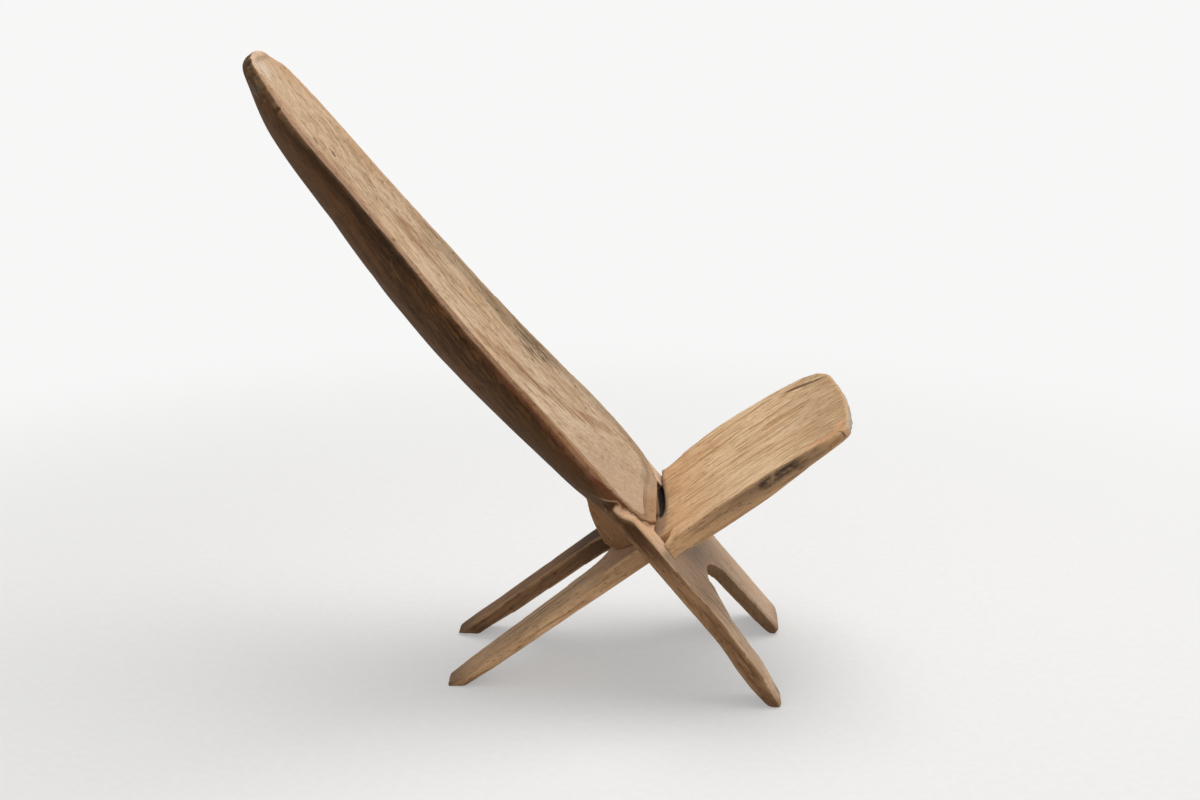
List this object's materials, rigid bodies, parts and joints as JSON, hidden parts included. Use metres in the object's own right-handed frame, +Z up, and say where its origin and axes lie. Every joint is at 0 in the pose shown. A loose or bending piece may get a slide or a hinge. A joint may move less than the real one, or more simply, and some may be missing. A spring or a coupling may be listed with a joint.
{
  "type": "two-piece plank chair",
  "caption": "Low reclining chair of carved planks that cross in an X: a dished back blade on front legs, and a seat whose tail passes through its slot to the rear legs.",
  "frame": {"origin": "on the floor, under the middle of the chair's length and width", "axes": "+X towards the front of the seat, +Y towards the sitter's left, +Z up"},
  "size_m": [0.7628, 0.3246, 0.8054],
  "materials": {
    "back_wood": "dry weathered hardwood, pale on the sitter's side and dark brown behind",
    "seat_wood": "dry weathered hardwood, golden tan on top with a dark stained edge"
  },
  "bodies": {
    "back": {"back_with_front_legs": "back_wood"},
    "seat": {"seat_with_rear_legs": "seat_wood"}
  },
  "joints": [
    {"name": "seat_draws_out", "type": "slide", "parent": "back", "child": "seat", "axis": [0.8049, 0, 0.5934], "range_m": [0, 0.38]}
  ]
}
